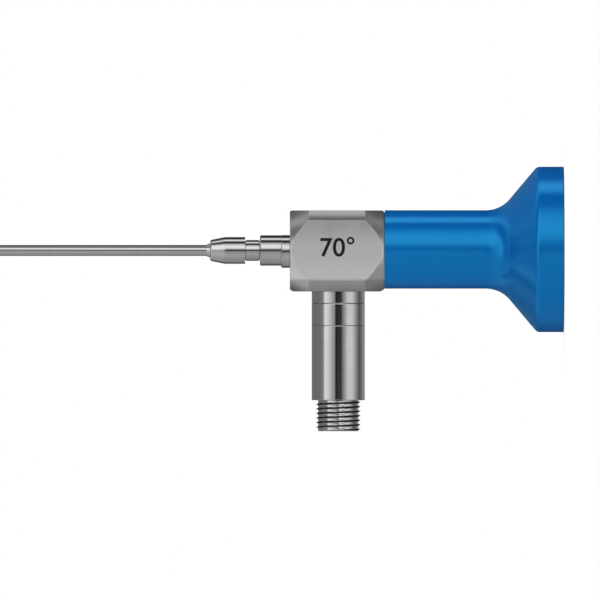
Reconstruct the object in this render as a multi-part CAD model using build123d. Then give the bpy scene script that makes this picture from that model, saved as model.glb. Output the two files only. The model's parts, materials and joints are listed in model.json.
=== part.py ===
from build123d import *

import os
from math import radians, tan

# Rigid endoscope: eyepiece, square body with a light post, sheath lock and a thin shaft with a 70 degree tip.
# Millimetres, +Z up. The origin is the centre of the eyecup's rear rim, on which the instrument stands.
# The optical axis is Z and points up to the tip. The light post points to -X, and the tip looks to +X.

# Fits
SLIP = 0.01            # radial clearance of pieces that slide into each other at assembly
SHAFT_X = -0.2         # the shaft, the lock and the body are turned about this line, beside the optical axis

# Eyecup and its barrel
CUP_R = 15.875
CUP_RIM_LENGTH = 5.16
CUP_RIM_ROUNDING = 1.2
CUP_REAR_CHAMFER = 0.15
CUP_CONE_ANGLE = 50.0
CUP_THROAT_ROUNDING = 6.0
BARREL_R = 7.525
EYECUP_LENGTH = 34.32
DISH_R = 13.5
DISH_FLOOR_R = 8.2
DISH_DEPTH = 5.2
DISH_ROUNDING = 0.8

# Eyepiece window
WINDOW_FRAME_R = 6.0
WINDOW_FRAME_LIP = 0.6
WINDOW_CLEAR_R = 3.75
WINDOW_R = 4.5
WINDOW_THICKNESS = 1.2
GASKET_THICKNESS = 0.3
CUP_WEB = 1.5
CUP_WEB_R = 3.9
NOTCH_WIDTH = 1.2
NOTCH_DEPTH = 0.4

# Carrier that joins the eyecup to the body
CARRIER_R = 5.3
CARRIER_BORE_R = 4.3
CARRIER_LIP = 1.0
CARRIER_LIP_R = 3.9
SPIGOT_R = 5.0
SPIGOT_LENGTH = 4.2
SEAL_GROOVE_DEPTH = 0.5
SEAL_GROOVE_WIDTH = 0.8
SEAL_SETBACK = 0.8

# Ocular cell and what it holds
CELL_SETBACK = 2.52
CELL_BORE_R = 3.5
CELL_LIP = 0.8
LENS_CLEAR_R = 3.1
REAR_LENS_EDGE = 1.9
FRONT_LENS_EDGE = 2.1
EYE_LENS_DOME = 0.7
LENS_SPACER_LENGTH = 2.2
LENS_RING_LENGTH = 1.2
FIELD_STOP_LENGTH = 8.4
FIELD_STOP_WEB = 0.4
FIELD_STOP_R = 1.5
CELL_RING_LENGTH = 1.2
CELL_RING_BORE_R = 3.4

# Body
BODY_R = 9.6
BODY_LENGTH = 18.22
BODY_END_R = 7.58
BODY_CONE_ANGLE = 30.0
BODY_FLAT = 7.67
BODY_POST_FLAT = 7.87
BODY_REAR_CHAMFER = 0.3
BODY_FRONT_CHAMFER = 0.12
CAVITY_R = 3.5
BODY_FRONT_WALL = 3.0

# Bush that centres the optics in the body
MOUNT_FLANGE = 3.0
MOUNT_HUB_R = 1.8
MOUNT_HUB_LENGTH = 4.0

# Sheath lock
LOCK_STEM_R = 2.0
LOCK_BASE_R = 3.14
LOCK_BASE_OFFSET = 0.19
LOCK_BASE_LENGTH = 1.7
LOCK_BASE_CHAMFER = 0.2
LOCK_COLLAR_R = 2.915
LOCK_COLLAR_LENGTH = 4.05
LOCK_COLLAR_CHAMFER = 0.2
LOCK_NECK_R = 2.0
LOCK_NECK_LENGTH = 2.83
LOCK_UNDERCUT_DEPTH = 0.15
LOCK_UNDERCUT_WIDTH = 0.18
LOCK_CONE_R = 2.57
LOCK_CONE_STRAIGHT = 3.9
LOCK_CONE_ROUNDING = 2.0
LOCK_CONE_END_R = 2.0
LOCK_NOSE_ROUNDING = 0.4
LOCK_CONE_LENGTH = 6.72

# Shaft
SLEEVE_R = 1.36
SLEEVE_END_R = 1.12
SLEEVE_PROUD = 0.69
SHAFT_R = 1.05
SHAFT_BORE_R = 0.9
SHAFT_REACH = 62.15
OPTICS_R = 0.65
OPTICS_BORE_R = 0.55
OPTICS_GAP = 1.0

# Tip
VIEW_ANGLE = 70.0
TIP_NOSE = 0.57
TIP_ROUNDING = 0.35
TIP_WINDOW_R = 0.45
TIP_WINDOW_THICKNESS = 0.3
PRISM_LENGTH = 5.2
OBJECTIVE_LENGTH = 1.6
RELAY_CLEAR_R = 0.44
RELAY_DOME = 0.08
RELAY_SPACER_LENGTH = 2.4
ROD_COUNT = 5

# Light post, measured along its own axis from the shaft's axis
POST_Z = 8.93
POST_R = 5.1
POST_SPIGOT_R = 3.7
POST_SPIGOT_LENGTH = 2.87
POST_BASE_LENGTH = 2.28
POST_RING_LENGTH = 4.22
POST_SLEEVE_LENGTH = 14.35
POST_CHAMFER = 0.12
POST_SLEEVE_CHAMFER = 0.12
CORE_R = 2.8
CORE_BORE_R = 2.2
INLET_R = 4.25
INLET_LENGTH = 5.94
INLET_CHAMFER = 0.5
INLET_RELIEF_R = 3.97
INLET_RELIEF_LENGTH = 0.38
POST_SEAL_SETBACK = 1.6

# Light fibres
BUNDLE_R = 1.3
BUNDLE_OFFSET = 0.7
GATHER_LENGTH = 1.6
BEND_LEAD = 0.2
FERRULE_LENGTH = 14.0
LIGHT_CONE_LENGTH = 5.0
LIGHT_CONE_END_R = 1.8
INLET_RECESS = 0.5

# Heights that follow from these sizes
window_seat = DISH_DEPTH + WINDOW_FRAME_LIP
web_rear = window_seat + WINDOW_THICKNESS + GASKET_THICKNESS
web_front = web_rear + CUP_WEB
cell_rear = web_front + CARRIER_LIP
rear_lens_seat = cell_rear + CELL_LIP
lens_spacer_rear = rear_lens_seat + REAR_LENS_EDGE
front_lens_seat = lens_spacer_rear + LENS_SPACER_LENGTH
lens_ring_rear = front_lens_seat + FRONT_LENS_EDGE
field_stop_rear = lens_ring_rear + LENS_RING_LENGTH
field_stop_front = field_stop_rear + FIELD_STOP_LENGTH
body_rear = EYECUP_LENGTH
cell_front = body_rear - CELL_SETBACK
body_front = body_rear + BODY_LENGTH
mount_rear = body_rear + SPIGOT_LENGTH
cavity_rear = mount_rear + MOUNT_FLANGE
cavity_front = body_front - BODY_FRONT_WALL
collar_front = body_front + LOCK_BASE_LENGTH + LOCK_COLLAR_LENGTH
cone_rear = collar_front + LOCK_NECK_LENGTH
cone_front = cone_rear + LOCK_CONE_LENGTH
tip = cone_front + SHAFT_REACH
prism_rear = tip - PRISM_LENGTH
objective_rear = prism_rear - RELAY_SPACER_LENGTH - OBJECTIVE_LENGTH
optics_rear = field_stop_front + OPTICS_GAP
relay_pitch = (objective_rear - optics_rear) / ROD_COUNT

# Distances along the light post
base_end = BODY_POST_FLAT + POST_BASE_LENGTH
ring_end = base_end + POST_RING_LENGTH
sleeve_end = ring_end + POST_SLEEVE_LENGTH
inlet_end = sleeve_end + INLET_LENGTH
post_seat = BODY_POST_FLAT - POST_SPIGOT_LENGTH
glass_end = inlet_end - INLET_RECESS
glass_start = glass_end - LIGHT_CONE_LENGTH
seal_start = sleeve_end - POST_SEAL_SETBACK - SEAL_GROOVE_WIDTH

# The light post's axis runs from the shaft's axis to -X, at its own height.
POST_PLANE = Plane(origin=(SHAFT_X, 0, body_rear + POST_Z), x_dir=(0, 1, 0), z_dir=(-1, 0, 0))

# The bevel of the tip: its normal leans from the shaft by the viewing angle, and it leaves a blunt nose.
nose_x = SHAFT_X - SHAFT_R + TIP_NOSE
window_z = tip + nose_x * tan(radians(VIEW_ANGLE))
BEVEL_PLANE = Plane((0, 0, window_z)).rotated((0, VIEW_ANGLE, 0))


def turned(*corners):
    """A turned piece: an outline of (radius, height) or (radius, height, rounding) corners spun about Z."""
    outline = make_face(Polyline(*[corner[:2] for corner in corners], close=True))
    for radius, height, rounding in [corner for corner in corners if len(corner) == 3]:
        vertex = outline.vertices().sort_by_distance((radius, height, 0))[0]
        outline = fillet(vertex, rounding)
    return revolve(Plane.XZ * outline, Axis.Z)


def rod(radius, start, end):
    """A plain turned rod between two heights."""
    return turned((0, start), (radius, start), (radius, end), (0, end))


def tube(outer_r, inner_r, start, end):
    """A plain turned tube between two heights."""
    return turned((inner_r, start), (outer_r, start), (outer_r, end), (inner_r, end))


def on_shaft(piece):
    """Moves a piece turned about Z to the shaft's axis."""
    return Pos(SHAFT_X, 0, 0) * piece


def on_post(piece):
    """Moves a piece turned about Z to the light post, where its height is the distance from the shaft."""
    return POST_PLANE * piece


def lens(edge_r, clear_r, start, end, dome):
    """A round glass, flat at the rear, with a flat seat round the polished dome of its front."""
    flat = Polyline((0, end + dome), (0, start), (edge_r, start), (edge_r, end), (clear_r, end))
    polished = TangentArc((0, end + dome), (clear_r, end), tangent=(1, 0))
    return revolve(Plane.XZ * make_face([flat, polished]), Axis.Z)


def notches(height, outer_r):
    """Two notches for a spanner across a ring's rear face at this height."""
    return Pos(0, 0, height) * Box(2 * outer_r, NOTCH_WIDTH, 2 * NOTCH_DEPTH)


def bevelled(piece):
    """Cuts a piece of the tip to the blunt nose, with its rounded edge, and to the bevel."""
    rounding_start = (SHAFT_R, tip - TIP_ROUNDING)
    rounding_end = (SHAFT_R - TIP_ROUNDING, tip)
    outside = (SHAFT_R + TIP_ROUNDING, tip + TIP_ROUNDING)
    waste = make_face(
        [
            TangentArc(rounding_start, rounding_end, tangent=(0, 1)),
            Polyline(
                rounding_end,
                (rounding_end[0], outside[1]),
                outside,
                (outside[0], rounding_start[1]),
                rounding_start,
            ),
        ]
    )
    rounded = piece - on_shaft(revolve(Plane.XZ * waste, Axis.Z))
    return split(rounded, bisect_by=BEVEL_PLANE, keep=Keep.BOTTOM)


def eyecup():
    cone_length = (CUP_R - BARREL_R) / tan(radians(CUP_CONE_ANGLE))
    return turned(
        (DISH_R, 0),
        (CUP_R - CUP_REAR_CHAMFER, 0),
        (CUP_R, CUP_REAR_CHAMFER),
        (CUP_R, CUP_RIM_LENGTH, CUP_RIM_ROUNDING),
        (BARREL_R, CUP_RIM_LENGTH + cone_length, CUP_THROAT_ROUNDING),
        (BARREL_R, EYECUP_LENGTH),
        (CARRIER_R + SLIP, EYECUP_LENGTH),
        (CARRIER_R + SLIP, web_front),
        (CUP_WEB_R, web_front),
        (CUP_WEB_R, web_rear),
        (WINDOW_FRAME_R + SLIP, web_rear),
        (WINDOW_FRAME_R + SLIP, DISH_DEPTH),
        (DISH_FLOOR_R, DISH_DEPTH, DISH_ROUNDING),
    )


def window_frame():
    ring = turned(
        (WINDOW_CLEAR_R, DISH_DEPTH),
        (WINDOW_FRAME_R, DISH_DEPTH),
        (WINDOW_FRAME_R, web_rear),
        (WINDOW_R + SLIP, web_rear),
        (WINDOW_R + SLIP, window_seat),
        (WINDOW_CLEAR_R, window_seat),
    )
    return ring - notches(DISH_DEPTH, WINDOW_FRAME_R + 1)


def ocular_carrier():
    groove_front = body_rear - SEAL_SETBACK
    groove_rear = groove_front - SEAL_GROOVE_WIDTH
    groove_r = CARRIER_R - SEAL_GROOVE_DEPTH
    return turned(
        (CARRIER_LIP_R, web_front),
        (CARRIER_R, web_front),
        (CARRIER_R, groove_rear),
        (groove_r, groove_rear),
        (groove_r, groove_front),
        (CARRIER_R, groove_front),
        (CARRIER_R, body_rear),
        (SPIGOT_R, body_rear),
        (SPIGOT_R, mount_rear),
        (CARRIER_BORE_R, mount_rear),
        (CARRIER_BORE_R, cell_rear),
        (CARRIER_LIP_R, cell_rear),
    )


def body_seal():
    front = body_rear - SEAL_SETBACK
    return tube(CARRIER_R, CARRIER_R - SEAL_GROOVE_DEPTH, front - SEAL_GROOVE_WIDTH, front)


def ocular_cell():
    return turned(
        (LENS_CLEAR_R, cell_rear),
        (CARRIER_BORE_R - SLIP, cell_rear),
        (CARRIER_BORE_R - SLIP, cell_front),
        (CELL_BORE_R, cell_front),
        (CELL_BORE_R, rear_lens_seat),
        (LENS_CLEAR_R, rear_lens_seat),
    )


def field_stop():
    return turned(
        (LENS_CLEAR_R, field_stop_rear),
        (CELL_BORE_R - SLIP, field_stop_rear),
        (CELL_BORE_R - SLIP, field_stop_front),
        (FIELD_STOP_R, field_stop_front),
        (FIELD_STOP_R, field_stop_front - FIELD_STOP_WEB),
        (LENS_CLEAR_R, field_stop_front - FIELD_STOP_WEB),
    )


def lens_ring():
    ring = tube(CELL_BORE_R - SLIP, LENS_CLEAR_R, lens_ring_rear, field_stop_rear)
    return ring - notches(field_stop_rear, CELL_BORE_R + 1)


def cell_ring():
    front = cell_front + CELL_RING_LENGTH
    ring = tube(CARRIER_BORE_R - SLIP, CELL_RING_BORE_R, cell_front, front)
    return ring - notches(front, CARRIER_BORE_R + 1)


def body():
    cone_length = (BODY_R - BODY_END_R) / tan(radians(BODY_CONE_ANGLE))
    bar = turned(
        (0, body_rear),
        (BODY_END_R - BODY_REAR_CHAMFER, body_rear),
        (BODY_END_R, body_rear + BODY_REAR_CHAMFER),
        (BODY_R, body_rear + BODY_REAR_CHAMFER + cone_length),
        (BODY_R, body_front - BODY_FRONT_CHAMFER - cone_length),
        (BODY_END_R, body_front - BODY_FRONT_CHAMFER),
        (BODY_END_R - BODY_FRONT_CHAMFER, body_front),
        (0, body_front),
    )
    flats = Pos((BODY_FLAT - BODY_POST_FLAT) / 2, 0, body_rear) * Box(
        BODY_FLAT + BODY_POST_FLAT, 2 * BODY_FLAT, BODY_LENGTH, align=(Align.CENTER, Align.CENTER, Align.MIN)
    )
    block = on_shaft(bar & flats)
    block -= rod(SPIGOT_R + SLIP, body_rear, cavity_rear)
    block -= on_shaft(rod(CAVITY_R, cavity_rear, cavity_front))
    block -= on_shaft(rod(LOCK_STEM_R + SLIP, cavity_front, body_front))
    block -= on_post(rod(CORE_BORE_R, 0, post_seat))
    return block - on_post(rod(POST_SPIGOT_R, post_seat, BODY_POST_FLAT))


def optics_mount():
    return turned(
        (OPTICS_R + SLIP, mount_rear - MOUNT_HUB_LENGTH),
        (MOUNT_HUB_R, mount_rear - MOUNT_HUB_LENGTH),
        (MOUNT_HUB_R, mount_rear),
        (SPIGOT_R, mount_rear),
        (SPIGOT_R, cavity_rear),
        (OPTICS_R + SLIP, cavity_rear),
    )


def sheath_lock():
    base_front = body_front + LOCK_BASE_LENGTH
    undercut_r = LOCK_NECK_R - LOCK_UNDERCUT_DEPTH
    base = turned(
        (0, body_front),
        (LOCK_BASE_R, body_front),
        (LOCK_BASE_R, base_front - LOCK_BASE_CHAMFER),
        (LOCK_BASE_R - LOCK_BASE_CHAMFER, base_front),
        (0, base_front),
    )
    spindle = turned(
        (0, cavity_front),
        (LOCK_STEM_R, cavity_front),
        (LOCK_STEM_R, body_front),
        (LOCK_COLLAR_R, body_front),
        (LOCK_COLLAR_R, collar_front - LOCK_COLLAR_CHAMFER),
        (LOCK_COLLAR_R - LOCK_COLLAR_CHAMFER, collar_front),
        (undercut_r, collar_front),
        (undercut_r, collar_front + LOCK_UNDERCUT_WIDTH),
        (LOCK_NECK_R, collar_front + LOCK_UNDERCUT_WIDTH),
        (LOCK_NECK_R, cone_rear - LOCK_UNDERCUT_WIDTH),
        (undercut_r, cone_rear - LOCK_UNDERCUT_WIDTH),
        (undercut_r, cone_rear),
        (LOCK_CONE_R, cone_rear),
        (LOCK_CONE_R, cone_rear + LOCK_CONE_STRAIGHT, LOCK_CONE_ROUNDING),
        (LOCK_CONE_END_R, cone_front, LOCK_NOSE_ROUNDING),
        (0, cone_front),
    )
    lock = Pos(-LOCK_BASE_OFFSET, 0, 0) * base + spindle
    return on_shaft(lock - rod(SLEEVE_R, cavity_front, cone_front))


def reinforcing_sleeve():
    front = cone_front + SLEEVE_PROUD
    return on_shaft(
        turned(
            (SHAFT_R + SLIP, cavity_front),
            (SLEEVE_R, cavity_front),
            (SLEEVE_R, cone_front),
            (SLEEVE_END_R, front),
            (SHAFT_R + SLIP, front),
        )
    )


def shaft_tube():
    return bevelled(on_shaft(tube(SHAFT_R, SHAFT_BORE_R, cavity_front, tip)))


def shaft_fibres():
    filling = on_shaft(rod(SHAFT_BORE_R - SLIP, cavity_front, tip))
    return bevelled(filling - rod(OPTICS_R + SLIP, cavity_front, tip))


def optics_tube():
    return bevelled(tube(OPTICS_R, OPTICS_BORE_R, optics_rear, tip))


def tip_window():
    return BEVEL_PLANE * rod(TIP_WINDOW_R, -TIP_WINDOW_THICKNESS, 0)


def distal_prism():
    return bevelled(rod(OPTICS_BORE_R - SLIP, prism_rear, tip)) - tip_window()


def objective_lens():
    front = objective_rear + OBJECTIVE_LENGTH
    return lens(OPTICS_BORE_R - SLIP, RELAY_CLEAR_R, objective_rear, front, RELAY_DOME)


def rod_lenses():
    rods = []
    for index in range(ROD_COUNT):
        start = optics_rear + index * relay_pitch
        end = start + relay_pitch - RELAY_SPACER_LENGTH
        rods.append(lens(OPTICS_BORE_R - SLIP, RELAY_CLEAR_R, start, end, RELAY_DOME))
    return rods


def rod_spacers():
    ends = [optics_rear + (index + 1) * relay_pitch for index in range(ROD_COUNT)] + [prism_rear]
    return [tube(OPTICS_BORE_R - SLIP, RELAY_CLEAR_R, end - RELAY_SPACER_LENGTH, end) for end in ends]


def fibre_bundle():
    """The fibres leave the shaft round the optics tube, gather beside it and bend into the light post."""
    bundle_x = SHAFT_X - BUNDLE_OFFSET
    gather_rear = cavity_front - GATHER_LENGTH
    post_height = body_rear + POST_Z
    bend_r = gather_rear - BEND_LEAD - post_height
    gather = loft(
        [
            Pos(bundle_x, 0, gather_rear) * Circle(BUNDLE_R),
            Pos(SHAFT_X, 0, cavity_front) * Circle(SHAFT_BORE_R - SLIP),
        ]
    )
    route = FilletPolyline(
        (bundle_x, 0, gather_rear),
        (bundle_x, 0, post_height),
        (SHAFT_X - glass_start, 0, post_height),
        radius=bend_r,
    )
    section = Pos(bundle_x, 0, gather_rear) * Circle(BUNDLE_R)
    return gather + sweep(section, path=route) - rod(OPTICS_R + SLIP, cavity_rear, cavity_front)


def post_base():
    return on_post(
        turned(
            (CORE_R + SLIP, post_seat),
            (POST_SPIGOT_R, post_seat),
            (POST_SPIGOT_R, BODY_POST_FLAT),
            (POST_R, BODY_POST_FLAT),
            (POST_R, base_end - POST_CHAMFER),
            (POST_R - POST_CHAMFER, base_end),
            (CORE_R + SLIP, base_end),
        )
    )


def post_ring():
    return on_post(
        turned(
            (CORE_R + SLIP, base_end),
            (POST_R - POST_CHAMFER, base_end),
            (POST_R, base_end + POST_CHAMFER),
            (POST_R, ring_end - POST_CHAMFER),
            (POST_R - POST_CHAMFER, ring_end),
            (CORE_R + SLIP, ring_end),
        )
    )


def post_sleeve():
    groove_r = CORE_R + SEAL_GROOVE_DEPTH
    return on_post(
        turned(
            (CORE_R + SLIP, ring_end),
            (POST_R - POST_CHAMFER, ring_end),
            (POST_R, ring_end + POST_CHAMFER),
            (POST_R, sleeve_end - POST_SLEEVE_CHAMFER),
            (POST_R - POST_SLEEVE_CHAMFER, sleeve_end),
            (CORE_R + SLIP, sleeve_end),
            (CORE_R + SLIP, seal_start + SEAL_GROOVE_WIDTH),
            (groove_r, seal_start + SEAL_GROOVE_WIDTH),
            (groove_r, seal_start),
            (CORE_R + SLIP, seal_start),
        )
    )


def post_seal():
    return on_post(tube(CORE_R + SEAL_GROOVE_DEPTH, CORE_R, seal_start, seal_start + SEAL_GROOVE_WIDTH))


def post_core():
    return on_post(
        turned(
            (CORE_BORE_R, post_seat),
            (CORE_R, post_seat),
            (CORE_R, sleeve_end),
            (INLET_RELIEF_R, sleeve_end),
            (INLET_RELIEF_R, sleeve_end + INLET_RELIEF_LENGTH),
            (INLET_R, sleeve_end + INLET_RELIEF_LENGTH),
            (INLET_R, inlet_end - INLET_CHAMFER),
            (INLET_R - INLET_CHAMFER, inlet_end),
            (CORE_BORE_R, inlet_end),
        )
    )


def fibre_ferrule():
    return on_post(
        turned(
            (BUNDLE_R, glass_end - FERRULE_LENGTH),
            (CORE_BORE_R - SLIP, glass_end - FERRULE_LENGTH),
            (CORE_BORE_R - SLIP, glass_end),
            (LIGHT_CONE_END_R, glass_end),
            (BUNDLE_R, glass_start),
        )
    )


def light_cone():
    corners = [(0, glass_start), (BUNDLE_R, glass_start), (LIGHT_CONE_END_R, glass_end), (0, glass_end)]
    return on_post(turned(*corners))


PIECES = {
    "eyecup": eyecup(),
    "window_frame": window_frame(),
    "eyepiece_window": rod(WINDOW_R, window_seat, window_seat + WINDOW_THICKNESS),
    "window_gasket": tube(WINDOW_R, CUP_WEB_R, web_rear - GASKET_THICKNESS, web_rear),
    "ocular_carrier": ocular_carrier(),
    "body_seal": body_seal(),
    "ocular_cell": ocular_cell(),
    "eye_lens_rear": lens(
        CELL_BORE_R - SLIP, LENS_CLEAR_R, rear_lens_seat, lens_spacer_rear, EYE_LENS_DOME
    ),
    "lens_spacer": tube(CELL_BORE_R - SLIP, LENS_CLEAR_R, lens_spacer_rear, front_lens_seat),
    "eye_lens_front": lens(
        CELL_BORE_R - SLIP, LENS_CLEAR_R, front_lens_seat, lens_ring_rear, EYE_LENS_DOME
    ),
    "lens_ring": lens_ring(),
    "field_stop": field_stop(),
    "cell_ring": cell_ring(),
    "body": body(),
    "optics_mount": optics_mount(),
    "sheath_lock": sheath_lock(),
    "reinforcing_sleeve": reinforcing_sleeve(),
    "shaft_tube": shaft_tube(),
    "shaft_fibres": shaft_fibres(),
    "optics_tube": optics_tube(),
    "distal_window": tip_window(),
    "distal_prism": distal_prism(),
    "objective_lens": objective_lens(),
    "rod_lenses": Compound(children=rod_lenses()),
    "rod_spacers": Compound(children=rod_spacers()),
    "fibre_bundle": fibre_bundle(),
    "post_base": post_base(),
    "post_ring": post_ring(),
    "post_sleeve": post_sleeve(),
    "post_seal": post_seal(),
    "post_core": post_core(),
    "fibre_ferrule": fibre_ferrule(),
    "light_cone": light_cone(),
}

os.makedirs("parts", exist_ok=True)
for name, piece in PIECES.items():
    export_step(piece, f"parts/{name}.step")
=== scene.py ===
import json
from math import cos, pi, radians, sin

import bpy
from mathutils import Matrix, Vector

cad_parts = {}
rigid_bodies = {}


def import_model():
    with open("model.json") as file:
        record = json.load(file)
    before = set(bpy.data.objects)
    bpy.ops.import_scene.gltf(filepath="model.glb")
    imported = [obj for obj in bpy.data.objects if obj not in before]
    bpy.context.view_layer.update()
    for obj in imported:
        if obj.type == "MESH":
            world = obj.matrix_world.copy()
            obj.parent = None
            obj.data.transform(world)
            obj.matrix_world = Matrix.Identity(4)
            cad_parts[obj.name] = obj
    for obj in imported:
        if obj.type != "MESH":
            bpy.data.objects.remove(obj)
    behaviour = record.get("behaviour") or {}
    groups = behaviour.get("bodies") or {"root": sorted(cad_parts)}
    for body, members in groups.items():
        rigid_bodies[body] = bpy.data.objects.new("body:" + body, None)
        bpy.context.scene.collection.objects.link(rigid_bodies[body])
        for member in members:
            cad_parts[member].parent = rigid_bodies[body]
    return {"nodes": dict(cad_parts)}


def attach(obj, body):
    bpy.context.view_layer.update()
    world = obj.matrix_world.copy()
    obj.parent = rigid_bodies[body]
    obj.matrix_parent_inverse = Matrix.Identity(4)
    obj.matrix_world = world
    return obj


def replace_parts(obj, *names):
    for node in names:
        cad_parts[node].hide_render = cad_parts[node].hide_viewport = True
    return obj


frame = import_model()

# Rigid endoscope, standing on its eyepiece. Metres; +Z is the optical axis and points up to the tip.
# The light post points to -X. The photograph's view looks along +Y with the camera rolled, so that
# the tip points to the left of the picture and the light post points down.

# A new file's own objects
for leftover in [o for o in bpy.data.objects if o.name in ("Cube", "Light", "Camera")]:
    bpy.data.objects.remove(leftover)

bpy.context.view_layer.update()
NODES = frame["nodes"]
MM = 0.001
PER_MM = 1 / MM

# Axes of the turned pieces
SHAFT_X = -0.2 * MM
POST_Z = 43.25 * MM

# Camera
PICTURE_WIDTH = 115.1 * MM
PICTURE_CENTRE = Vector((-9.7 * MM, 0, 50.6 * MM))
CAMERA_DISTANCE = 5.0
CAMERA_NEAR = 0.1
CAMERA_FAR = 20.0
SENSOR_WIDTH = 36.0

# The camera's axes in the frame, as columns: the picture's right, its top, and towards the camera
PICTURE_AXES = Matrix(((0, 0, -1), (1, 0, 0), (0, -1, 0))).transposed()

# Mark on the body's face
MARK_TEXT = "70\u00b0"
MARK_SIZE = 5.0 * MM
MARK_WEIGHT = 0.06 * MM
MARK_DEPTH = 0.01 * MM
MARK_PLACE = Vector((0.2 * MM, -7.675 * MM, 43.4 * MM))

# Light post, measured along its own axis from the shaft's axis
POST_R = 5.1 * MM
POST_SECTORS = 160
RING_START = 10.15 * MM
RING_LENGTH = 4.22 * MM
RING_END = RING_START + RING_LENGTH
SLEEVE_LENGTH = 14.35 * MM
SLEEVE_END = RING_END + SLEEVE_LENGTH
POST_EDGE = 0.15 * MM
POST_EDGE_STEPS = 6
POST_BREAK = 0.02 * MM
POST_CHAMFER = 0.12 * MM
SHARP_ANGLE = radians(40)

# Threaded light inlet, measured in the same way
CORE_START = 5.0 * MM
CORE_R = 2.8 * MM
CORE_BORE_R = 2.2 * MM
THREAD_START = SLEEVE_END
THREAD_LENGTH = 5.94 * MM
THREAD_END = THREAD_START + THREAD_LENGTH
THREAD_CREST_R = 4.25 * MM
THREAD_ROOT_R = 3.87 * MM
# Beyond this radius the thread's ridges get painted shade
THREAD_PAINTED_DARK_R = 3.93 * MM
THREAD_PITCH = 0.87 * MM
THREAD_CREST_HALF = 0.04 * MM
THREAD_FLANK_WIDTH = 0.14 * MM
THREAD_ROOT_RISE = 0.02 * MM
THREAD_RELIEF_LENGTH = 0.25 * MM
THREAD_CHAMFER = 0.5 * MM
THREAD_PHASE = 0.08
THREAD_ROWS_PER_PITCH = 20

# Steel: tints, and the lowest and highest roughness
TURNED_TINT = (0.70, 0.705, 0.69)
SHAFT_ROUGHNESS = (0.03, 0.05)
POST_ROUGHNESS = (0.04, 0.06)
SATIN_TINT = (0.95, 0.95, 0.93)
SATIN_ROUGHNESS = (0.26, 0.32)

# Painted shade along one side of the shaft tube, a darker band that stands in for a darker reflection there:
# its lowest and highest x, and its brightness
TUBE_PAINTED_SHADE = (0.30 * MM, 0.52 * MM, 0.4)

# Painted shade on the body's steel: its brightness across x, from 0 on the light post's side to 1 on the far
# side
SATIN_HALF_WIDTH = 7.8 * MM
SATIN_PAINTED_SHADES = [(0.0, 0.62), (0.11, 0.66), (0.15, 1.0), (0.5, 0.86), (0.84, 0.60), (0.88, 0.52), (1.0, 0.52)]

# The middle of a noise value's range, which its colours and roughness are spread over
NOISE_SPAN = (0.3, 0.7)

# Lamps: place from the picture's middle and width, in metres, and power in watts
LAMPS = {
    "key": ((0.85, -0.25, 0.15), 0.5, 5.5),
    "fill": ((-0.8, -0.3, 0.3), 0.6, 3.4),
    "back": ((0.2, 0.7, 0.5), 0.6, 2.0),
}

# Floor
FLOOR_HALF_WIDTH = 0.7
FLOOR_Z = -0.02 * MM
FLOOR_GREY = 0.8
FLOOR_GLOW = 0.45

# Light tent. Each panel's brightness stands beside the angle in degrees from the tent's front, which
# is on the photograph's side; above, below, left and right are the picture's.
TENT_R = 20.0
PANELS = {
    "above": [
        (0, 0.03), (4, 0.05), (10, 0.36), (17, 0.90), (26, 1.15), (40, 1.05), (50, 0.80), (58, 0.50),
        (65, 0.10), (80, 0.01), (84, 0.10), (90, 0.90), (98, 1.10), (104, 0.90), (112, 0.25), (118, 0.04),
        (180, 0.03),
    ],
    "below": [
        (0, 0.04), (4, 0.12), (11, 0.38), (35, 0.46), (50, 0.46), (70, 0.38), (95, 0.36), (110, 0.32),
        (125, 0.22), (140, 0.08), (180, 0.04),
    ],
    "left": [
        (0, 0.01), (11, 0.03), (18, 0.40), (28, 0.52), (40, 0.78), (52, 0.95), (62, 0.95), (66, 0.48),
        (72, 0.26), (90, 0.21), (180, 0.19),
    ],
    "right": [
        (0, 0.01), (11, 0.03), (20, 0.26), (30, 0.47), (40, 0.78), (62, 0.82), (70, 0.62), (90, 0.26),
        (102, 0.12), (112, 0.14), (130, 0.30), (180, 0.40),
    ],
    "upper_left": [
        (0, 0.04), (8, 0.30), (18, 0.95), (30, 1.20), (54, 1.15), (64, 0.40), (70, 0.10), (80, 0.05),
        (87, 0.20), (93, 0.60), (104, 0.60), (112, 0.25), (180, 0.10),
    ],
    "upper_right": [
        (0, 0.04), (6, 0.80), (20, 1.20), (35, 1.00), (45, 0.40), (60, 0.25), (76, 0.10), (87, 0.20),
        (93, 0.35), (104, 0.35), (112, 0.18), (180, 0.10),
    ],
    "lower_left": [
        (0, 0.04), (8, 0.40), (20, 0.50), (45, 0.55), (60, 0.50), (90, 0.55), (110, 0.50), (130, 0.15),
        (180, 0.15),
    ],
    "lower_right": [
        (0, 0.04), (6, 1.30), (20, 1.70), (35, 1.40), (45, 0.35), (60, 0.25), (110, 0.28), (130, 0.15),
        (180, 0.15),
    ],
}


def add(tree, kind, inputs=None, **settings):
    """Adds a shader node, sets its settings, and sets or links its inputs."""
    made = tree.nodes.new(kind)
    for key, value in settings.items():
        setattr(made, key, value)
    for key, value in (inputs or {}).items():
        if isinstance(value, bpy.types.NodeSocket):
            tree.links.new(value, made.inputs[key])
        else:
            made.inputs[key].default_value = value
    return made


def maths(tree, operation, first, second=0.0, clamp=False):
    """One arithmetic step; gives its output socket."""
    return add(tree, "ShaderNodeMath", {0: first, 1: second}, operation=operation, use_clamp=clamp).outputs[0]


def weighed(tree, first, second, share):
    """Two noise values in one, of which the first has the given share."""
    rest = maths(tree, "MULTIPLY", second, 1 - share)
    return maths(tree, "ADD", maths(tree, "MULTIPLY", first, share), rest)


def multiplied(tree, first, second):
    """Multiplies two colours or places, each component by itself."""
    return add(tree, "ShaderNodeVectorMath", {0: first, 1: second}, operation="MULTIPLY").outputs[0]


def separated(tree, where):
    """The three components of a place."""
    return add(tree, "ShaderNodeSeparateXYZ", {"Vector": where}).outputs


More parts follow.
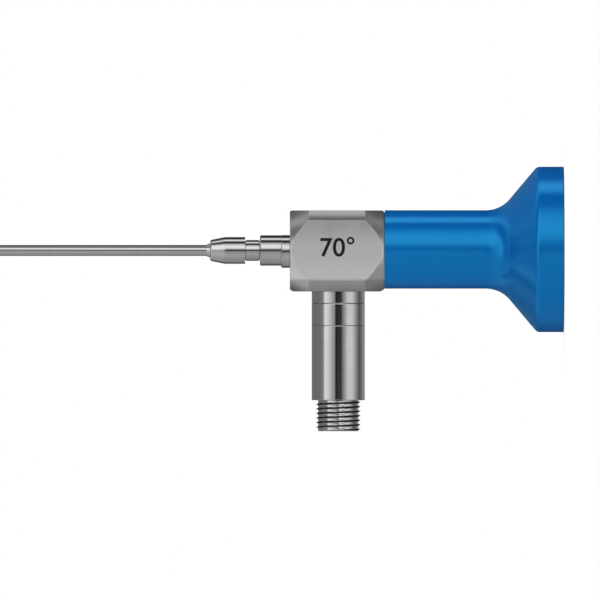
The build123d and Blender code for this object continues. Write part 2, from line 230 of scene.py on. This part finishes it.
def ramp(tree, factor, stops, interpolation="EASE"):
    """A ramp of (position, brightness) stops; gives its colour output."""
    made = add(tree, "ShaderNodeValToRGB", {"Fac": factor})
    made.color_ramp.interpolation = interpolation
    elements = made.color_ramp.elements
    while len(elements) < len(stops):
        elements.new(1.0)
    for element, (position, value) in zip(elements, stops):
        element.position = position
        element.color = (value, value, value, 1)
    return made.outputs["Color"]


def blended(tree, factor, first, second):
    """Mixes two colours. Inputs 6 and 7 and output 2 are the Mix node's colour sockets."""
    mix = add(tree, "ShaderNodeMix", {"Factor": factor}, data_type="RGBA")
    for socket, value in ((mix.inputs[6], first), (mix.inputs[7], second)):
        if isinstance(value, bpy.types.NodeSocket):
            tree.links.new(value, socket)
        else:
            socket.default_value = (*value, 1)
    return mix.outputs[2]


def rescaled(tree, value, span, result=(0.0, 1.0), **settings):
    """Maps a value from one (low, high) span to another, and keeps it in there."""
    ends = {"From Min": span[0], "From Max": span[1], "To Min": result[0], "To Max": result[1]}
    return add(tree, "ShaderNodeMapRange", {"Value": value, **ends}, **settings).outputs["Result"]


def ranged(tree, value, low, high):
    """Maps a noise value to low and high."""
    return rescaled(tree, value, NOISE_SPAN, (low, high))


def mottled(tree, value, first, second, most=1.0):
    """A colour that a noise value moves from the first towards the second, by a share of most."""
    return blended(tree, ranged(tree, value, 0.0, most), first, second)


def shaded(colour, share):
    """A colour at a share of its brightness."""
    return tuple(channel * share for channel in colour)


def noise(tree, where, scale, detail=3.0):
    """Cloudy noise; its scale counts features to the millimetre."""
    inputs = {"Vector": where, "Scale": scale * PER_MM, "Detail": detail, "Roughness": 0.6}
    return add(tree, "ShaderNodeTexNoise", inputs).outputs[0]


def lines(tree, along, scale, detail=4.0):
    """Noise that changes along one coordinate only, as tool marks do; the scale is the same."""
    inputs = {"W": along, "Scale": scale * PER_MM, "Detail": detail, "Roughness": 0.65}
    return add(tree, "ShaderNodeTexNoise", inputs, noise_dimensions="1D").outputs[0]


def bumped(tree, height, strength, depth=0.01 * MM, normal=None):
    """A bump from a height; gives its normal output."""
    inputs = {"Height": height, "Strength": strength, "Distance": depth}
    if normal is not None:
        inputs["Normal"] = normal
    return add(tree, "ShaderNodeBump", inputs).outputs["Normal"]


def worn_edges(tree, radius):
    """A normal that rounds the edges a little, as deburring does."""
    return add(tree, "ShaderNodeBevel", {"Radius": radius}, samples=6).outputs["Normal"]


def painted_crevice_shade(tree, colour, reach, darkest):
    """Painted shade: darkens a colour in corners and joints, where shade falls."""
    open_share = add(tree, "ShaderNodeAmbientOcclusion", {"Distance": reach}, samples=4).outputs["AO"]
    return multiplied(tree, colour, ramp(tree, open_share, [(0.35, darkest), (0.85, 1.0)]))


def new_material(name, **sockets):
    """A material with a principled shader, whose constant inputs are set; and its object coordinates."""
    material = bpy.data.materials.new(name)
    material.use_nodes = True
    shader = material.node_tree.nodes["Principled BSDF"]
    for key, value in sockets.items():
        shader.inputs[key.replace("_", " ")].default_value = value
    where = add(material.node_tree, "ShaderNodeTexCoord").outputs["Object"]
    return material, material.node_tree, shader, where


def finish_shader(tree, shader, colour, roughness, normal):
    """Links a material's varying colour, roughness and normal to its shader."""
    tree.links.new(colour, shader.inputs["Base Color"])
    tree.links.new(roughness, shader.inputs["Roughness"])
    tree.links.new(normal, shader.inputs["Normal"])


def turned_steel(name, axis, roughness, painted_shade_band=None):
    """Lathe-turned stainless steel: fine rings round the axis, with faint polishing clouds.

    The shaft tube gets painted shade: a darker band along one side, from painted_shade_band.
    """
    material, tree, shader, where = new_material(name, Metallic=1.0, Anisotropic=0.35)
    components = separated(tree, where)
    rings = lines(tree, components[axis], scale=9.0)
    wide_rings = lines(tree, components[axis], scale=1.5, detail=2.0)
    clouds = noise(tree, where, scale=0.32)
    colour = mottled(tree, clouds, TURNED_TINT, shaded(TURNED_TINT, 0.93))
    colour = mottled(tree, wide_rings, colour, shaded(TURNED_TINT, 0.85), most=0.35)
    # Painted shade: darkens the band of x given by painted_shade_band
    if painted_shade_band:
        lowest, highest, brightness = painted_shade_band
        shades = (1.0, brightness)
        shade = rescaled(tree, components[0], (lowest, highest), shades, interpolation_type="SMOOTHSTEP")
        colour = multiplied(tree, colour, shade)
    # Painted shade in the corners and grooves
    colour = painted_crevice_shade(tree, colour, reach=0.25 * MM, darkest=0.25)
    rough = ranged(tree, weighed(tree, rings, clouds, 0.6), *roughness)
    normal = bumped(tree, rings, strength=0.01)
    normal = bumped(tree, wide_rings, strength=0.01, depth=0.02 * MM, normal=normal)
    tangent = add(tree, "ShaderNodeTangent", direction_type="RADIAL", axis="XYZ"[axis]).outputs[0]
    tree.links.new(tangent, shader.inputs["Tangent"])
    finish_shader(tree, shader, colour, rough, normal)
    return material


def satin_steel():
    """The body's steel: satin finished, with fine grain along the instrument, soft handling marks, and
    painted shade across x and in its corners.
    """
    material, tree, shader, where = new_material("steel_satin", Metallic=1.0, Anisotropic=0.2)
    grain = noise(tree, multiplied(tree, where, (1.0, 1.0, 0.05)), scale=14.0, detail=4.0)
    speck = noise(tree, where, scale=2.6)
    clouds = noise(tree, where, scale=0.24)
    # Painted shade: lighter and darker bands across x, as SATIN_PAINTED_SHADES gives
    across = rescaled(tree, separated(tree, where)[0], (-SATIN_HALF_WIDTH, SATIN_HALF_WIDTH))
    colour = multiplied(tree, SATIN_TINT, ramp(tree, across, SATIN_PAINTED_SHADES))
    colour = mottled(tree, clouds, colour, (0.70, 0.70, 0.685), most=0.4)
    colour = mottled(tree, speck, colour, (0.52, 0.52, 0.51), most=0.025)
    # Painted shade in the corners and joints
    colour = painted_crevice_shade(tree, colour, reach=0.4 * MM, darkest=0.4)
    rough = ranged(tree, weighed(tree, grain, clouds, 0.5), *SATIN_ROUGHNESS)
    normal = bumped(tree, grain, strength=0.008, normal=worn_edges(tree, 0.08 * MM))
    finish_shader(tree, shader, colour, rough, normal)
    return material


def blue_satin():
    """The eyecup's blue: smooth satin, with a very fine grain and a slightly uneven depth of colour."""
    gloss = (0.12, 1.0, 0.45, 1)
    material, tree, shader, where = new_material("blue_satin", IOR=2.3, Metallic=0.35, Specular_Tint=gloss)
    grain = noise(tree, where, scale=9.0)
    turning = lines(tree, separated(tree, where)[2], scale=3.5)
    clouds = noise(tree, where, scale=0.16)
    colour = mottled(tree, clouds, (0.0, 0.148, 0.58), (0.0, 0.140, 0.55))
    colour = mottled(tree, grain, colour, (0.0, 0.155, 0.60), most=0.3)
    rough = ranged(tree, weighed(tree, grain, clouds, 0.5), 0.16, 0.20)
    normal = bumped(tree, grain, strength=0.03, depth=0.02 * MM, normal=worn_edges(tree, 0.1 * MM))
    normal = bumped(tree, turning, strength=0.02, depth=0.02 * MM, normal=normal)
    finish_shader(tree, shader, colour, rough, normal)
    return material


def black_metal():
    """Matt black anodised aluminium of the inner rings."""
    material, tree, shader, where = new_material("black_metal", Metallic=0.3)
    grain = noise(tree, where, scale=7.0)
    colour = mottled(tree, noise(tree, where, scale=0.7), (0.014, 0.014, 0.015), (0.024, 0.023, 0.023))
    normal = bumped(tree, grain, strength=0.2, depth=0.02 * MM)
    finish_shader(tree, shader, colour, ranged(tree, grain, 0.38, 0.55), normal)
    return material


def clear_glass():
    """Optical glass with a faint blue-green coating."""
    material, tree, shader, where = new_material("optical_glass", IOR=1.52, Transmission_Weight=1.0)
    haze = noise(tree, where, scale=0.9)
    colour = mottled(tree, haze, (0.92, 0.97, 0.96), (0.86, 0.95, 0.95))
    finish_shader(tree, shader, colour, ranged(tree, haze, 0.0, 0.03), bumped(tree, haze, strength=0.01))
    return material


def fibre_glass():
    """Polished bundle of light fibres: small round cells in pale cement."""
    material, tree, shader, where = new_material("light_fibres", IOR=1.5)
    inputs = {"Vector": where, "Scale": 16.0 * PER_MM, "Randomness": 0.5}
    cells = add(tree, "ShaderNodeTexVoronoi", inputs).outputs["Distance"]
    inside = maths(tree, "LESS_THAN", cells, 0.42)
    tone = noise(tree, where, scale=5.0)
    core = mottled(tree, tone, (0.80, 0.78, 0.66), (0.62, 0.60, 0.50))
    colour = blended(tree, inside, (0.16, 0.13, 0.09), core)
    finish_shader(tree, shader, colour, ranged(tree, tone, 0.12, 0.25), bumped(tree, cells, strength=0.3))
    return material


def seal_rubber():
    """Black sealing ring and gasket."""
    material, tree, shader, where = new_material("seal_rubber")
    grain = noise(tree, where, scale=5.0)
    colour = mottled(tree, grain, (0.02, 0.02, 0.02), (0.035, 0.034, 0.033))
    normal = bumped(tree, grain, strength=0.25, depth=0.02 * MM)
    finish_shader(tree, shader, colour, ranged(tree, grain, 0.55, 0.75), normal)
    return material


def painted_dark_thread_flanks():
    """The thread's ridges, painted dark: painted shade for the dark lines along them."""
    material, tree, shader, where = new_material("painted_dark_thread_flanks", Metallic=1.0)
    grain = noise(tree, where, scale=9.0)
    colour = mottled(tree, grain, (0.025, 0.025, 0.023), (0.06, 0.06, 0.057))
    finish_shader(tree, shader, colour, ranged(tree, grain, 0.3, 0.5), bumped(tree, grain, strength=0.15))
    return material


def laser_mark():
    """Black laser mark, slightly uneven where the beam has blackened the steel."""
    material, tree, shader, where = new_material("laser_mark", Specular_IOR_Level=0.15)
    grain = noise(tree, where, scale=20.0)
    colour = mottled(tree, grain, (0.006, 0.006, 0.006), (0.016, 0.015, 0.014))
    finish_shader(tree, shader, colour, ranged(tree, grain, 0.45, 0.7), bumped(tree, grain, strength=0.2))
    return material


def dress(material, *names):
    """Gives CAD nodes a material."""
    for name in names:
        mesh = NODES[name].data
        mesh.materials.clear()
        mesh.materials.append(material)


def dress_nodes():
    """The finish of every CAD node; gives the light post's steel.

    Turned steel is told which axis its tool lines go round: 0 is x and 2 is z.
    """
    post_steel = turned_steel("steel_turned_x", 0, POST_ROUGHNESS)
    shaft_steel = turned_steel("steel_turned_z", 2, SHAFT_ROUGHNESS)
    # The shaft tube's steel has painted shade along one side
    painted_shade_tube_steel = turned_steel("steel_drawn_z_painted_shade", 2, SHAFT_ROUGHNESS, TUBE_PAINTED_SHADE)
    black = black_metal()
    glass = clear_glass()
    dress(blue_satin(), "eyecup")
    dress(satin_steel(), "body")
    dress(shaft_steel, "sheath_lock", "reinforcing_sleeve", "optics_tube", "optics_mount", "ocular_carrier")
    dress(painted_shade_tube_steel, "shaft_tube")
    dress(post_steel, "post_base", "post_ring", "post_sleeve", "post_core", "fibre_ferrule")
    dress(black, "window_frame", "ocular_cell", "lens_spacer", "lens_ring", "field_stop", "cell_ring")
    dress(black, "rod_spacers")
    dress(glass, "eyepiece_window", "eye_lens_rear", "eye_lens_front", "rod_lenses", "objective_lens")
    dress(glass, "distal_prism", "distal_window", "light_cone")
    dress(fibre_glass(), "shaft_fibres", "fibre_bundle")
    dress(seal_rubber(), "window_gasket", "body_seal", "post_seal")
    return post_steel


def linked(name, data):
    """A new object in the scene."""
    made = bpy.data.objects.new(name, data)
    bpy.context.scene.collection.objects.link(made)
    return made


def thread_radius_at(turns):
    """Radius of the thread at a number of turns: a narrow crest, steep flanks and a wide hollow root."""
    from_crest = abs(turns - round(turns)) * THREAD_PITCH
    foot = THREAD_CREST_HALF + THREAD_FLANK_WIDTH
    foot_r = THREAD_ROOT_R + THREAD_ROOT_RISE
    if from_crest < THREAD_CREST_HALF:
        return THREAD_CREST_R
    if from_crest < foot:
        down_flank = (from_crest - THREAD_CREST_HALF) / THREAD_FLANK_WIDTH
        return THREAD_CREST_R - (THREAD_CREST_R - foot_r) * down_flank
    hollow = (THREAD_PITCH / 2 - from_crest) / (THREAD_PITCH / 2 - foot)
    return THREAD_ROOT_R + THREAD_ROOT_RISE * hollow * hollow


def thread_radius(distance, angle):
    """Outer radius of the light inlet at a distance along the post and an angle round it."""
    turns = (distance - THREAD_START) / THREAD_PITCH - angle / (2 * pi) + THREAD_PHASE
    radius = thread_radius_at(turns)
    if distance < THREAD_START + THREAD_RELIEF_LENGTH:
        radius = THREAD_ROOT_R
    return min(radius, THREAD_CREST_R - THREAD_CHAMFER + (THREAD_END - distance))


def inlet_rows():
    """Rows of the threaded core, round its closed section."""
    steps = round(THREAD_LENGTH / THREAD_PITCH * THREAD_ROWS_PER_PITCH)
    spacing = THREAD_LENGTH / steps
    threaded = [(THREAD_START + spacing * step, None) for step in range(steps + 1)]
    return [
        (CORE_START, CORE_BORE_R),
        (CORE_START, CORE_R),
        (THREAD_START, CORE_R),
        *threaded,
        (THREAD_END, CORE_BORE_R),
    ]


def post_point(distance, radius, angle):
    """A point of the light post in the frame: the post runs to -X at its own height."""
    return Vector((SHAFT_X - distance, radius * sin(angle), POST_Z + radius * cos(angle)))


def post_piece(name, rows, material):
    """A piece turned about the post's axis from rows of (distance, radius); None is the thread's radius."""
    points, faces = [], []
    for distance, fixed in rows:
        for sector in range(POST_SECTORS):
            angle = 2 * pi * sector / POST_SECTORS
            radius = thread_radius(distance, angle) if fixed is None else fixed
            points.append(post_point(distance, radius, angle))
    for row in range(len(rows)):
        here = row * POST_SECTORS
        following = (row + 1) % len(rows) * POST_SECTORS
        for sector in range(POST_SECTORS):
            beside = (sector + 1) % POST_SECTORS
            faces.append((here + sector, here + beside, following + beside, following + sector))
    mesh = bpy.data.meshes.new(name)
    mesh.from_pydata(points, [], faces)
    mesh.update()
    mesh.materials.append(material)
    mesh.shade_smooth()
    mesh.set_sharp_from_angle(angle=SHARP_ANGLE)
    piece = linked(name, mesh)
    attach(piece, "root")
    return piece


def threaded_core(material):
    """The post's inner tube with the helical thread of the light inlet; its ridges get painted shade."""
    piece = post_piece("threaded_core", inlet_rows(), material)
    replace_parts(piece, "post_core")
    piece.data.materials.append(painted_dark_thread_flanks())
    for polygon in piece.data.polygons:
        middle = polygon.center - Vector((SHAFT_X, 0, POST_Z))
        radius = (middle.y**2 + middle.z**2) ** 0.5
        # Painted shade: the ridges beyond THREAD_PAINTED_DARK_R get the dark material
        if -middle.x > THREAD_START + THREAD_RELIEF_LENGTH and radius > THREAD_PAINTED_DARK_R:
            polygon.material_index = 1


def rounded_ring(name, node, start, end, end_break, material):
    """A ring of the light post with a rounded edge at its start, which catches the light."""
    turns = [pi / 2 * step / POST_EDGE_STEPS for step in range(POST_EDGE_STEPS + 1)]
    edge = [(start + POST_EDGE * (1 - cos(turn)), POST_R - POST_EDGE * (1 - sin(turn))) for turn in turns]
    rows = [
        (start, CORE_R),
        *edge,
        (edge[-1][0] + POST_BREAK, POST_R),
        (end - end_break, POST_R),
        (end, POST_R - end_break),
        (end, CORE_R),
    ]
    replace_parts(post_piece(name, rows, material), node)


def direction_mark():
    """The direction of view in degrees, marked on the body's face where the photograph has print."""
    curve = bpy.data.curves.new("direction_mark", "FONT")
    curve.body = MARK_TEXT
    curve.size = MARK_SIZE
    curve.align_x = "CENTER"
    curve.align_y = "CENTER"
    curve.offset = MARK_WEIGHT
    curve.extrude = MARK_DEPTH
    lettering = linked("lettering", curve)
    bpy.context.view_layer.update()
    mesh = bpy.data.meshes.new_from_object(lettering)
    bpy.data.objects.remove(lettering)
    mesh.transform(Matrix.Translation(MARK_PLACE) @ PICTURE_AXES.to_4x4())
    mesh.name = "direction_mark"
    mesh.materials.clear()
    mesh.materials.append(laser_mark())
    piece = linked("direction_mark", mesh)
    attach(piece, "root")


def bare_material(name):
    """A material that has no shader yet, and its node tree."""
    material = bpy.data.materials.new(name)
    material.use_nodes = True
    material.node_tree.nodes.clear()
    return material, material.node_tree


def background_rays(tree):
    """1 for the rays that may meet a background: from the camera, off metal and through glass."""
    rays = add(tree, "ShaderNodeLightPath").outputs
    direct = maths(tree, "MAXIMUM", rays["Is Camera Ray"], rays["Is Transmission Ray"])
    return maths(tree, "MAXIMUM", direct, rays["Is Glossy Ray"])


def white_world():
    """The white background that the camera sees, also through glass. Off metal the tent stands before it."""
    world = bpy.data.worlds.new("background")
    bpy.context.scene.world = world
    world.use_nodes = True
    tree = world.node_tree
    tree.nodes.clear()
    white = add(tree, "ShaderNodeBackground", {"Color": (1, 1, 1, 1), "Strength": background_rays(tree)})
    add(tree, "ShaderNodeOutputWorld", {"Surface": white.outputs[0]})


def panel(tree, turn, name):
    """One panel's brightness at a turn from the tent's front, where 1 is half a circle."""
    return ramp(tree, turn, [(angle / 180, value) for angle, value in PANELS[name]], "LINEAR")


def tent_pattern(tree):
    """The tent's brightness in each direction: four panels round the front, and four slanted ones between."""
    where = add(tree, "ShaderNodeTexCoord").outputs["Object"]
    direction = add(tree, "ShaderNodeVectorMath", {0: where}, operation="NORMALIZE").outputs[0]
    x, y, z = separated(tree, direction)
    turn = maths(tree, "DIVIDE", maths(tree, "ARCCOSINE", maths(tree, "MULTIPLY", y, -1.0)), pi)
    is_above = maths(tree, "GREATER_THAN", x, 0.0)
    is_left = maths(tree, "GREATER_THAN", z, 0.0)

    # Share of the upright panels against the sideways ones; the tiny addend keeps the front from 0 / 0
    upright = maths(tree, "MULTIPLY", x, x)
    sideways = maths(tree, "MULTIPLY", z, z)
    around = maths(tree, "ADD", maths(tree, "ADD", upright, sideways), 1e-9)
    share = maths(tree, "DIVIDE", upright, around)

    # Share of the slanted panels: 4 times the product of both shares, which is 1 half way between them
    both_shares = maths(tree, "MULTIPLY", upright, sideways)
    both_shares = maths(tree, "DIVIDE", both_shares, maths(tree, "MULTIPLY", around, around))
    slanted = maths(tree, "MULTIPLY", both_shares, 4.0, clamp=True)

    vertical = blended(tree, is_above, panel(tree, turn, "below"), panel(tree, turn, "above"))
    horizontal = blended(tree, is_left, panel(tree, turn, "right"), panel(tree, turn, "left"))
    lower = blended(tree, is_left, panel(tree, turn, "lower_right"), panel(tree, turn, "lower_left"))
    upper = blended(tree, is_left, panel(tree, turn, "upper_right"), panel(tree, turn, "upper_left"))
    diagonal = blended(tree, is_above, lower, upper)
    return blended(tree, slanted, blended(tree, share, horizontal, vertical), diagonal)


def light_tent():
    """A round tent of soft panels, which lights the instrument. Metal shows it and the camera doesn't."""
    bpy.ops.mesh.primitive_ico_sphere_add(subdivisions=4, radius=TENT_R, location=PICTURE_CENTRE)
    tent = bpy.context.object
    tent.name = "light_tent"
    material, tree = bare_material("light_tent")
    glow = add(tree, "ShaderNodeEmission", {"Color": tent_pattern(tree), "Strength": 1.0})
    add(tree, "ShaderNodeOutputMaterial", {"Surface": glow.outputs[0]})
    tent.data.materials.append(material)
    tent.visible_camera = False
    tent.visible_transmission = False


def soft_lamp(name, place, width, power):
    """A large soft lamp that faces the instrument and isn't seen itself."""
    data = bpy.data.lights.new(name, "AREA")
    data.shape = "SQUARE"
    data.size = width
    data.energy = power
    lamp = linked(name, data)
    lamp.location = PICTURE_CENTRE + Vector(place)
    lamp.rotation_mode = "QUATERNION"
    lamp.rotation_quaternion = (PICTURE_CENTRE - lamp.location).to_track_quat("-Z", "Y")
    lamp.visible_camera = False
    lamp.visible_glossy = False


def pale_floor():
    """A plain pale floor under the eyecup; the camera sees it almost white, with the soft shadow on it."""
    corners = [(-1, -1), (1, -1), (1, 1), (-1, 1)]
    points = [(x * FLOOR_HALF_WIDTH, y * FLOOR_HALF_WIDTH, FLOOR_Z) for x, y in corners]
    mesh = bpy.data.meshes.new("floor")
    mesh.from_pydata(points, [], [(0, 1, 2, 3)])
    material, tree = bare_material("pale_floor")
    strength = maths(tree, "MULTIPLY", background_rays(tree), FLOOR_GLOW)
    glow = add(tree, "ShaderNodeEmission", {"Strength": strength})
    matt = add(tree, "ShaderNodeBsdfDiffuse", {"Color": (FLOOR_GREY, FLOOR_GREY, FLOOR_GREY, 1)})
    both = add(tree, "ShaderNodeAddShader", {0: matt.outputs[0], 1: glow.outputs[0]})
    add(tree, "ShaderNodeOutputMaterial", {"Surface": both.outputs[0]})
    mesh.materials.append(material)
    floor = linked("floor", mesh)
    floor.visible_glossy = False


def photo_camera():
    """The photograph's view: along +Y, from far away, with the picture's top towards +X."""
    data = bpy.data.cameras.new("camera")
    data.sensor_width = SENSOR_WIDTH
    data.lens = SENSOR_WIDTH * CAMERA_DISTANCE / PICTURE_WIDTH
    data.clip_start = CAMERA_NEAR
    data.clip_end = CAMERA_FAR
    camera = linked("camera", data)
    place = PICTURE_CENTRE + PICTURE_AXES @ Vector((0, 0, CAMERA_DISTANCE))
    camera.matrix_world = Matrix.Translation(place) @ PICTURE_AXES.to_4x4()
    bpy.context.scene.camera = camera


bpy.context.scene.view_settings.view_transform = "Standard"
photo_camera()
white_world()
light_tent()
for lamp_name, (lamp_place, lamp_width, lamp_power) in LAMPS.items():
    soft_lamp(lamp_name, lamp_place, lamp_width, lamp_power)
pale_floor()

post_material = dress_nodes()
threaded_core(post_material)
rounded_ring("rounded_ring", "post_ring", RING_START, RING_END, POST_BREAK, post_material)
rounded_ring("rounded_sleeve", "post_sleeve", RING_END, SLEEVE_END, POST_CHAMFER, post_material)
direction_mark()

# The photograph's steel doesn't reflect the blue eyecup
NODES["eyecup"].visible_glossy = False
